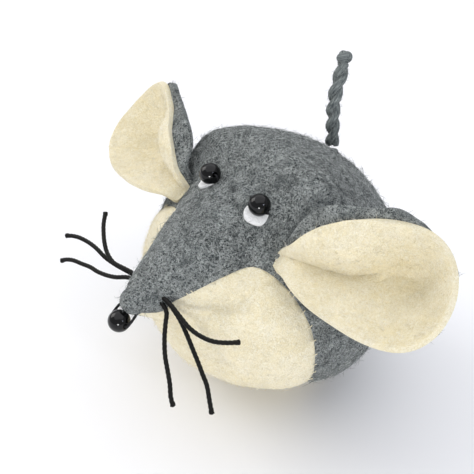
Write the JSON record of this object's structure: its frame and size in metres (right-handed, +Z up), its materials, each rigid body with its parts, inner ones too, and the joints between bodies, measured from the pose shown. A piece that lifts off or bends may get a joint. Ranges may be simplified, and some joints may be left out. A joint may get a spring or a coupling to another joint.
{
  "type": "felt mouse",
  "caption": "Hand-sewn stuffed felt mouse with a round body, pointed snout, cupped ears, bead eyes and nose, cord whiskers and a twisted cord tail.",
  "frame": {"origin": "on the rest face, under the middle of the body's box without its cords", "axes": "-Y the way the nose points, +X towards the mouse's own left, +Z up"},
  "size_m": [0.1054, 0.0782, 0.0793],
  "materials": {
    "grey_felt": "matte",
    "cream_felt": "matte",
    "white_felt": "matte",
    "stuffing": "matte",
    "grey_wool_cord": "matte",
    "black_cord": "matte",
    "black_thread": "matte",
    "cream_thread": "matte",
    "grey_thread": "matte",
    "glass_bead": "gloss"
  },
  "bodies": {
    "body": {"skin_back": "grey_felt", "skin_belly": "cream_felt", "stuffing": "stuffing", "belly_stitches": "cream_thread", "eye_left_disc": "white_felt", "eye_left_thread": "black_thread", "eye_right_disc": "white_felt", "eye_right_thread": "black_thread", "nose_thread": "black_thread", "whisker_upper": "black_cord", "whisker_middle": "black_cord", "whisker_lower": "black_cord", "tail_anchor": "grey_wool_cord"},
    "ear_left": {"ear_left_outer": "grey_felt", "ear_left_inner": "cream_felt", "ear_left_stitches": "grey_thread"},
    "ear_right": {"ear_right_outer": "grey_felt", "ear_right_inner": "cream_felt", "ear_right_stitches": "grey_thread"},
    "eye_left": {"eye_left_bead": "glass_bead"},
    "eye_right": {"eye_right_bead": "glass_bead"},
    "nose": {"nose_bead": "glass_bead"},
    "tail": {"tail": "grey_wool_cord", "tail_knot": "grey_wool_cord"}
  },
  "joints": [
    {"name": "ear_left_fold", "type": "hinge", "parent": "body", "child": "ear_left", "pos_m": [0.01631, -0.00591, 0.04914], "axis": [0.2627, -0.6155, -0.743], "range_deg": [-8, 25], "stiffness_Nm_per_rad": 0.04},
    {"name": "ear_right_fold", "type": "hinge", "parent": "body", "child": "ear_right", "pos_m": [-0.01631, -0.00591, 0.04914], "axis": [0.2627, 0.6155, 0.743], "range_deg": [-8, 25], "stiffness_Nm_per_rad": 0.04},
    {"name": "tail_sway", "type": "hinge", "parent": "body", "child": "tail", "pos_m": [0, 0.02712, 0.05607], "axis": [0, 1, 0], "range_deg": [-30, 30], "stiffness_Nm_per_rad": 0.004},
    {"name": "eye_left_spin", "type": "hinge", "parent": "body", "child": "eye_left", "pos_m": [0.00835, -0.00405, 0.0557], "axis": [0.9245, 0.1392, -0.355], "continuous": true},
    {"name": "eye_right_spin", "type": "hinge", "parent": "body", "child": "eye_right", "pos_m": [-0.00835, -0.00405, 0.0557], "axis": [0.9245, -0.1392, 0.355], "continuous": true},
    {"name": "nose_spin", "type": "hinge", "parent": "body", "child": "nose", "pos_m": [0, -0.03662, 0.03559], "axis": [1, 0, 0], "continuous": true}
  ]
}
